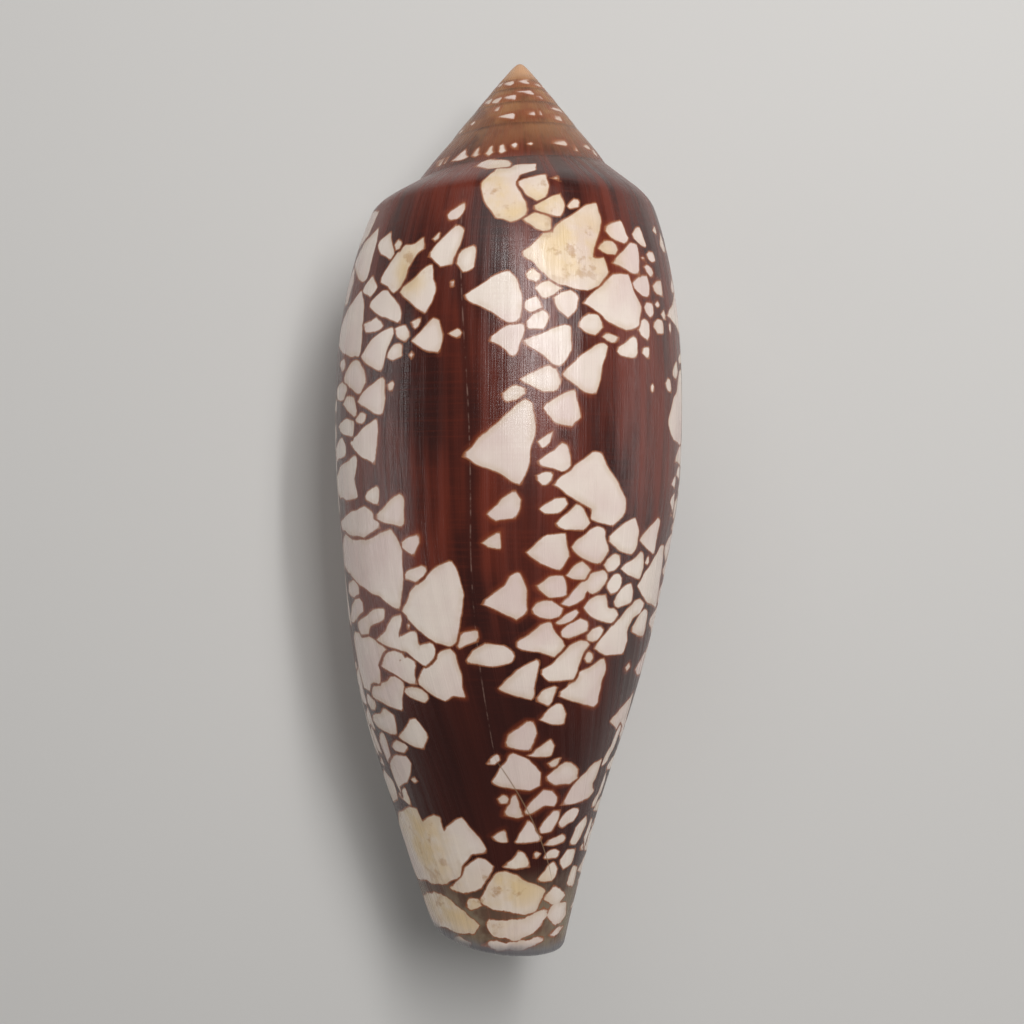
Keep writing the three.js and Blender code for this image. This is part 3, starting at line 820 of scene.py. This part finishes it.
def paint_stains(shell):
    """Writes how stained each corner is, and how far it is from the scar, the rim and the suture."""
    mesh = shell.data
    turn, depth, which = read_places(mesh)
    stained = np.zeros(len(turn))
    for middle, deep, across, down in STAINS:
        away = ((turn - middle) * mm_per_degree(middle, deep) / across) ** 2 + ((depth - deep) / down) ** 2
        stained = np.maximum(stained, np.exp(-(away**1.5)))
    write_field(mesh, "stain", stained[which])
    write_field(mesh, "scar", (turn - scar_turn(depth))[which])
    write_field(mesh, "to_rim", (base_depth(turn) - depth)[which])
    write_field(mesh, "below_suture", (depth - suture_depth(turn))[which])


def all_tents(seed):
    """The tents of the front, and then tents like them over the sides and back that it leaves bare."""
    tents = [Tent(corners) for corners in TENTS]
    draw = np.random.default_rng(seed)
    for turns in ((-20, FRONT[0] + 4), (FRONT[1] - 6, 345)):
        scatter_tents(draw, tents, turns, (19, 108), SIZES)
    scatter_tents(draw, tents, (192, FRONT[1]), (70, 106), SMALL_SIZES)
    for whorl in range(1, SPIRE_WHORLS):
        scatter_dashes(draw, tents, whorl)
    return tents


def scatter_dashes(draw, tents, whorl):
    """A row of small dashes along a whorl of the spire."""
    size = (suture_depth(360 * (whorl - 1)) - suture_depth(360 * whorl)) * 0.26 + 0.75
    for turn in np.arange(360 * whorl, 360 * (whorl + 1), DASH_STEP * 1.35**whorl):
        turn += draw.uniform(-5, 5)
        if FRONT_DASHES[0] < turn < FRONT_DASHES[1]:
            continue
        down = draw.choice([0.72, 0.3], p=[0.65, 0.35]) + draw.uniform(-0.13, 0.13)
        depth = lerp(suture_depth(turn), suture_depth(turn - 360), down)
        reach = size * draw.uniform(0.5, 1.7) / mm_per_degree(turn, depth) / 2
        top, low = depth - size * 0.2, depth + size * 0.25
        tents.append(Tent([(turn - reach, depth), (turn + reach, top), (turn + reach, low)]))


# ---- The finish.


class Tree:
    """A material's nodes. Each call adds one node and gives its output."""

    def __init__(self, material):
        material.use_nodes = True
        self.nodes, self.links = material.node_tree.nodes, material.node_tree.links

    def add(self, kind, inputs, output=0, **settings):
        node = self.nodes.new("ShaderNode" + kind)
        for name, value in settings.items():
            setattr(node, name, value)
        for socket, value in inputs.items():
            if isinstance(value, bpy.types.NodeSocket):
                self.links.new(value, node.inputs[socket])
            else:
                node.inputs[socket].default_value = value
        return node.outputs[output]

    def attribute(self, name):
        return self.add("Attribute", {}, "Fac", attribute_name=name)

    def math(self, operation, *values):
        return self.add("Math", dict(enumerate(values)), operation=operation)

    def rise(self, value, start, end, low=0.0, high=1.0):
        """Goes smoothly from low to high as the value goes from start to end."""
        limits = {"Value": value, "From Min": start, "From Max": end, "To Min": low, "To Max": high}
        return self.add("MapRange", limits, interpolation_type="SMOOTHSTEP")

    def noise(self, place, detail=4.0, roughness=0.55):
        values = {"Vector": place, "Scale": 1.0, "Detail": detail, "Roughness": roughness}
        return self.add("TexNoise", values, "Fac")

    def mix(self, share, a, b, blend="MIX"):
        """Mixes two colours."""
        return self.add("Mix", {0: share, 6: a, 7: b}, 2, data_type="RGBA", blend_type=blend)

    def between(self, value, start, full, fading, end):
        """Rises to 1 from start to full, and falls back to 0 from fading to end."""
        return self.math("MULTIPLY", self.rise(value, start, full), self.rise(value, end, fading))


def colour(red, green, blue):
    """A linear colour from the usual 0 to 255 values."""
    linear = [c / 255 / 12.92 if c <= 10 else ((c / 255 + 0.055) / 1.055) ** 2.4 for c in (red, green, blue)]
    return linear + [1.0]


# Tints that a user doesn't change.
HAIRLINE = 168, 136, 122  # along the scar
CRACK = 138, 110, 84  # the scar's lower end, where it crosses tents
GLOW = 132, 56, 30  # thin glaze round a tent
SMEAR = 128, 112, 92  # the worn base
SPECK = 168, 122, 72  # in the stains
TENT_EDGE = 196, 172, 146
TIP = 196, 150, 112
RIM = 116, 115, 119
PORCELAIN = 226, 222, 216
COOL_PORCELAIN = 214, 214, 216
BUMP = 0.08  # the height of the finest relief


class Glaze(Tree):
    """The shell's nodes: its place on the spiral, the noises that vary it, and each part of its colour."""

    def __init__(self, material, looks):
        super().__init__(material)
        self.looks = looks
        self.turn, self.depth, self.lining = (self.attribute(name) for name in FIELDS)
        self.scar = self.math("ABSOLUTE", self.attribute("scar"))
        self.stain = self.attribute("stain")
        self.streaks = self.noise(self.stretched(0.3, 0.022, 2.0), 4.0, 0.5)
        self.hairs = self.noise(self.stretched(4.0, 0.06, 4.0), 3.0)
        self.threads = self.noise(self.stretched(0.03, 2.6, 3.0), 5.0, 0.6)
        self.mottle = self.noise(self.even(420.0), 5.0, 0.6)
        self.cloud = self.noise(self.even(90.0), 3.0)
        self.blotch = self.noise(self.even(240.0), 4.0)
        self.inside = self.inside_tents()

    def tint(self, name):
        return list(getattr(self.looks, name)) + [1]

    def stretched(self, across, down, layer):
        """A place for noise that runs with the growth lines: features per degree and per millimetre."""
        across, down = self.math("MULTIPLY", self.turn, across), self.math("MULTIPLY", self.depth, down)
        return self.add("CombineXYZ", {0: across, 1: down, 2: layer})

    def even(self, scale):
        """A place for noise that is the same every way: features per metre."""
        spot = self.add("TexCoord", {}, "Object")
        return self.add("VectorMath", {0: spot, "Scale": scale}, operation="SCALE")

    def inside_tents(self):
        """How far inside a tent a point is. The edges are a little rough, and frayed at the base."""
        inside = self.attribute("tents_0")
        for layer in range(1, LAYERS):
            inside = self.math("MAXIMUM", inside, self.attribute(f"tents_{layer}"))
        inside = self.math("MULTIPLY_ADD", self.math("SUBTRACT", self.mottle, 0.5), 0.42, inside)
        fraying = self.rise(self.depth, 97.0, 104.0, 0.0, 2.4)
        frayed = self.math("MULTIPLY", fraying, self.math("SUBTRACT", self.blotch, 0.42))
        return self.math("ADD", inside, frayed)

    def ground(self):
        """Chestnut streaked along the growth lines, darker low down and worn to tan on the spire."""
        dark, red = self.tint("dark_brown"), self.tint("red_brown")
        broad = self.noise(self.stretched(0.042, 0.035, 1.0), 3.0)
        redness = self.math("MULTIPLY_ADD", broad, 0.7, self.math("MULTIPLY", self.streaks, 0.3))
        ground = self.mix(self.rise(redness, 0.38, 0.62), dark, red)
        ground = self.mix(self.rise(self.threads, 0.45, 0.75, 0.0, 0.3), ground, red)
        ground = self.mix(self.rise(self.hairs, 0.5, 0.75, 0.0, 0.16), ground, dark)
        low = self.between(self.depth, 62.0, 84.0, 98.0, 108.0)
        ground = self.mix(self.math("MULTIPLY", low, 0.85), ground, dark)
        patchy = self.rise(self.blotch, 0.35, 0.62, 0.4, 1.0)
        worn = self.math("MULTIPLY", self.rise(self.depth, 17.0, 5.0), patchy)
        return self.mix(worn, ground, self.tint("spire"))

    def scarred(self, ground):
        """Adds the healed scar: dark beside it, with a pale broken hairline along it."""
        healed = self.between(self.depth, 17.0, 24.0, 80.0, 92.0)
        beside = self.math("MULTIPLY", self.rise(self.scar, 2.2, 0.6, 0.0, 0.55), healed)
        ground = self.mix(beside, ground, self.tint("dark_brown"))
        broken = self.rise(self.noise(self.stretched(0.3, 0.9, 5.0), 4.0), 0.4, 0.62, 0.0, 0.32)
        hairline = self.math("MULTIPLY", self.rise(self.scar, 0.35, 0.05), broken)
        return self.mix(self.math("MULTIPLY", hairline, healed), ground, colour(*HAIRLINE))

    def edged(self, ground):
        """Adds the orange glow round some tents, the smears of the base and the dark of the suture."""
        near = self.rise(self.inside, -0.7, -0.15, 0.0, 0.42)
        glow = self.math("MULTIPLY", near, self.rise(self.cloud, 0.5, 0.62))
        ground = self.mix(glow, ground, colour(*GLOW))
        patchy = self.rise(self.blotch, 0.4, 0.55, 0.4, 1.0)
        smear = self.math("MULTIPLY", self.rise(self.depth, 98.0, 105.0), patchy)
        ground = self.mix(smear, ground, colour(*SMEAR))
        below = self.math("MULTIPLY_ADD", self.mottle, -0.4, self.attribute("below_suture"))
        return self.mix(self.rise(below, 0.4, -0.1, 0.0, 0.35), ground, self.tint("dark_brown"))

    def tents(self):
        """Cream and rose, stained and specked in places, and shaded towards the brown fringe."""
        tent = self.mix(self.rise(self.cloud, 0.35, 0.7), self.tint("cream"), self.tint("rose"))
        tent = self.mix(self.rise(self.threads, 0.5, 0.8, 0.0, 0.25), tent, self.tint("rose"))
        stained = self.math("MULTIPLY", self.stain, self.rise(self.blotch, 0.36, 0.6, 0.25, 0.95))
        tent = self.mix(stained, tent, self.tint("ochre"))
        specks = self.math("MULTIPLY", self.stain, self.rise(self.mottle, 0.56, 0.66, 0.0, 0.6))
        tent = self.mix(specks, tent, colour(*SPECK))
        edge = self.rise(self.inside, 0.9, 0.05, 0.0, 0.5)
        shaded = self.math("MULTIPLY", edge, self.rise(self.blotch, 0.4, 0.6))
        tent = self.mix(shaded, tent, colour(*TENT_EDGE))
        return self.mix(self.rise(self.inside, -0.06, 0.12), self.tint("fringe"), tent)

    def outside(self):
        """Ground and tents, and over both the scar's lower end, the worn tip and the rim of the base."""
        ground = self.edged(self.scarred(self.ground()))
        pattern = self.mix(self.rise(self.inside, -0.2, -0.05), ground, self.tents())
        crossing = self.between(self.depth, 84.0, 87.0, 98.0, 102.0)
        crack = self.math("MULTIPLY", self.rise(self.scar, 0.6, 0.1, 0.0, 0.7), crossing)
        pattern = self.mix(crack, pattern, colour(*CRACK))
        tip = self.rise(self.math("MULTIPLY_ADD", self.mottle, 1.5, self.depth), 4.2, 1.8)
        pattern = self.mix(tip, pattern, colour(*TIP))
        rim = self.math("MULTIPLY_ADD", self.mottle, 1.6, self.attribute("to_rim"))
        return self.mix(self.rise(rim, 2.4, 0.9, 0.0, 0.85), pattern, colour(*RIM))

    def porcelain(self):
        return self.mix(self.rise(self.cloud, 0.3, 0.7), colour(*PORCELAIN), colour(*COOL_PORCELAIN))


def glazed_shell(looks):
    """Chestnut glaze with cream tents, some edged in orange, over white porcelain inside."""
    material = bpy.data.materials.new("glazed_shell")
    glaze = Glaze(material, looks)
    shader = glaze.nodes["Principled BSDF"]
    tint = glaze.mix(glaze.lining, glaze.outside(), glaze.porcelain())
    glaze.links.new(tint, shader.inputs["Base Color"])
    dullness = glaze.rise(glaze.streaks, 0.3, 0.8, looks.roughness - 0.05, looks.roughness + 0.12)
    glaze.links.new(dullness, shader.inputs["Roughness"])
    scratches = glaze.math("MULTIPLY_ADD", glaze.hairs, 1.5, glaze.streaks)
    height = glaze.math("MULTIPLY_ADD", glaze.threads, 0.5, scratches)
    bump = glaze.add("Bump", {"Height": height, "Strength": 0.3, "Distance": BUMP * MM})
    glaze.links.new(bump, shader.inputs["Normal"])
    shader.inputs["IOR"].default_value = 1.53
    shader.inputs["Specular IOR Level"].default_value = 0.42
    return material


# ---- The stage.


MIDDLE = (0, 0, LENGTH / 2)

# The lights, in the shell's own frame: name, place, what it points at, width and height, and watts.
LIGHTS = [
    ("window", (115, -400, 205), (0, 0, 68), (120, 290), 1.05),
    ("strip", (112, -330, 195), (0, 0, 72), (16, 230), 0.4),
    ("top_fill", (-60, -330, 420), MIDDLE, (420, 260), 0.45),
    ("left_fill", (-420, -25, 50), MIDDLE, (70, 300), 0.32),
    ("right_fill", (420, -25, 50), MIDDLE, (70, 300), 0.32),
]
ROOM_TINT = (0.86, 0.85, 0.84, 1)
ROOM_LIGHT = 0.16
FLOOR_SIZE = 6  # in metres


def in_world(resting, place):
    """A place in the shell's own frame, in millimetres, where it lies."""
    return resting @ Vector(place)


def soft_light(name, resting, place, target, size, power):
    """An area light placed and aimed in the shell's own frame."""
    bpy.ops.object.light_add(type="AREA", location=in_world(resting, place))
    light = bpy.context.object
    light.name = name
    light.data.shape = "RECTANGLE"
    light.data.size, light.data.size_y = (side * MM for side in size)
    light.data.energy = power
    away = in_world(resting, place) - in_world(resting, target)
    up = resting.to_3x3() @ Vector((0, 0, 1))
    light.rotation_euler = facing(away, up)


def facing(away, up):
    """The turn of a camera or light whose back points one way and whose top points up."""
    back = away.normalized()
    right = up.cross(back).normalized()
    return Matrix((right, back.cross(right), back)).transposed().to_euler()


# ---- What a user can change, and the operators.


def tone(name, description, *rgb):
    start = colour(*rgb)[:3]
    return FloatVectorProperty(name=name, description=description, default=start, subtype="COLOR", min=0, max=1)


class ShellLooks(bpy.types.PropertyGroup):
    dark_brown: tone("Dark brown", "The darkest chestnut of the ground", 50, 20, 16)
    red_brown: tone("Red brown", "Where the ground is thinner and redder", 104, 40, 25)
    spire: tone("Spire", "The worn ground of the spire", 158, 108, 66)
    cream: tone("Cream", "The tents", 226, 212, 200)
    rose: tone("Rose", "The faint pink in the tents", 214, 192, 184)
    ochre: tone("Ochre", "Where the glaze has worn or stained", 216, 188, 144)
    fringe: tone("Fringe", "The thin edge of each tent", 146, 88, 56)
    roughness: FloatProperty(name="Roughness", description="How dull the glaze is", default=0.24, min=0, max=1)
    seed: IntProperty(name="Seed", description="Which pattern covers the back", default=7, min=0)


class StageLooks(bpy.types.PropertyGroup):
    distance: FloatProperty(name="Camera distance", description="From the camera to the coiling axis",
                            default=0.193, unit="LENGTH")
    focal: FloatProperty(name="Focal length", description="The camera's focal length in millimetres", default=53.96)
    floor: tone("Floor", "The pale floor", 205, 203, 200)
    light: FloatProperty(name="Light", description="How strong the lights are", default=1.0, min=0)


class OBJECT_OT_cone_shell(bpy.types.Operator):
    """Grow the shell, paint its tents and glaze it"""

    bl_idname = "object.add_cone_shell"
    bl_label = "Cone Shell"

    def execute(self, context):
        looks = context.scene.shell_looks
        shell = grow_shell()
        if any(math.isnan(c) for corner in shell.bound_box for c in corner):
            raise RuntimeError("the shell has no shape")
        tents = all_tents(looks.seed)
        paint_tents(shell, tents)
        paint_stains(shell)
        shell.data.materials.clear()
        shell.data.materials.append(glazed_shell(looks))
        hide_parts(NODE)
        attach(shell, "root")
        return {"FINISHED"}


class OBJECT_OT_cone_shell_stage(bpy.types.Operator):
    """Add the floor, the lights and the camera"""

    bl_idname = "object.add_cone_shell_stage"
    bl_label = "Floor, Lights and Camera"

    def execute(self, context):
        looks = context.scene.stage_looks
        resting = resting_matrix()
        bpy.ops.object.select_all(action="DESELECT")
        bpy.ops.mesh.primitive_plane_add(size=FLOOR_SIZE, location=(0, 0, CAD_BOX[0][2]))
        floor = context.object
        floor.name = "floor"
        paint = bpy.data.materials.new("floor_paint")
        paint.use_nodes = True
        inputs = paint.node_tree.nodes["Principled BSDF"].inputs
        inputs["Base Color"].default_value = list(looks.floor) + [1]
        inputs["Roughness"].default_value = 0.9
        floor.data.materials.append(paint)

        for name, spot, target, size, power in LIGHTS:
            soft_light(name, resting, spot, target, size, power * looks.light)

        world = bpy.data.worlds.new("studio")
        world.use_nodes = True
        world.node_tree.nodes["Background"].inputs["Color"].default_value = ROOM_TINT
        world.node_tree.nodes["Background"].inputs["Strength"].default_value = ROOM_LIGHT
        context.scene.world = world
        context.scene.view_settings.view_transform = "Standard"

        seat = (CAMERA_SIDE, -looks.distance / MM, LENGTH - CAMERA_DEPTH)
        bpy.ops.object.camera_add(location=in_world(resting, seat))
        camera = context.object
        camera.name = "camera"
        lean = math.radians(CAMERA_LEAN)
        up = resting.to_3x3() @ Vector((math.sin(lean), 0, math.cos(lean)))
        away = resting.to_3x3() @ Vector((0, -1, 0))
        camera.rotation_euler = facing(away, up)
        camera.data.lens = looks.focal
        camera.data.clip_start = 0.01
        context.scene.camera = camera
        return {"FINISHED"}


class VIEW3D_PT_cone_shell(bpy.types.Panel):
    bl_label = "Cone Shell"
    bl_idname = "VIEW3D_PT_cone_shell"
    bl_space_type = "VIEW_3D"
    bl_region_type = "UI"
    bl_category = "Cone Shell"

    def draw(self, context):
        for looks, operator in STEPS.items():
            group = getattr(context.scene, looks)
            for name in group.__annotations__:
                self.layout.prop(group, name)
            self.layout.operator(operator.bl_idname)


STEPS = {"shell_looks": OBJECT_OT_cone_shell, "stage_looks": OBJECT_OT_cone_shell_stage}
CLASSES = (ShellLooks, StageLooks, OBJECT_OT_cone_shell, OBJECT_OT_cone_shell_stage, VIEW3D_PT_cone_shell)


def register():
    for cls in CLASSES:
        bpy.utils.register_class(cls)
    bpy.types.Scene.shell_looks = PointerProperty(type=ShellLooks)
    bpy.types.Scene.stage_looks = PointerProperty(type=StageLooks)


def unregister():
    for looks in STEPS:
        delattr(bpy.types.Scene, looks)
    for cls in reversed(CLASSES):
        bpy.utils.unregister_class(cls)


def main():
    register()
    bpy.ops.object.add_cone_shell()
    bpy.ops.object.add_cone_shell_stage()


if __name__ == "__main__":
    main()
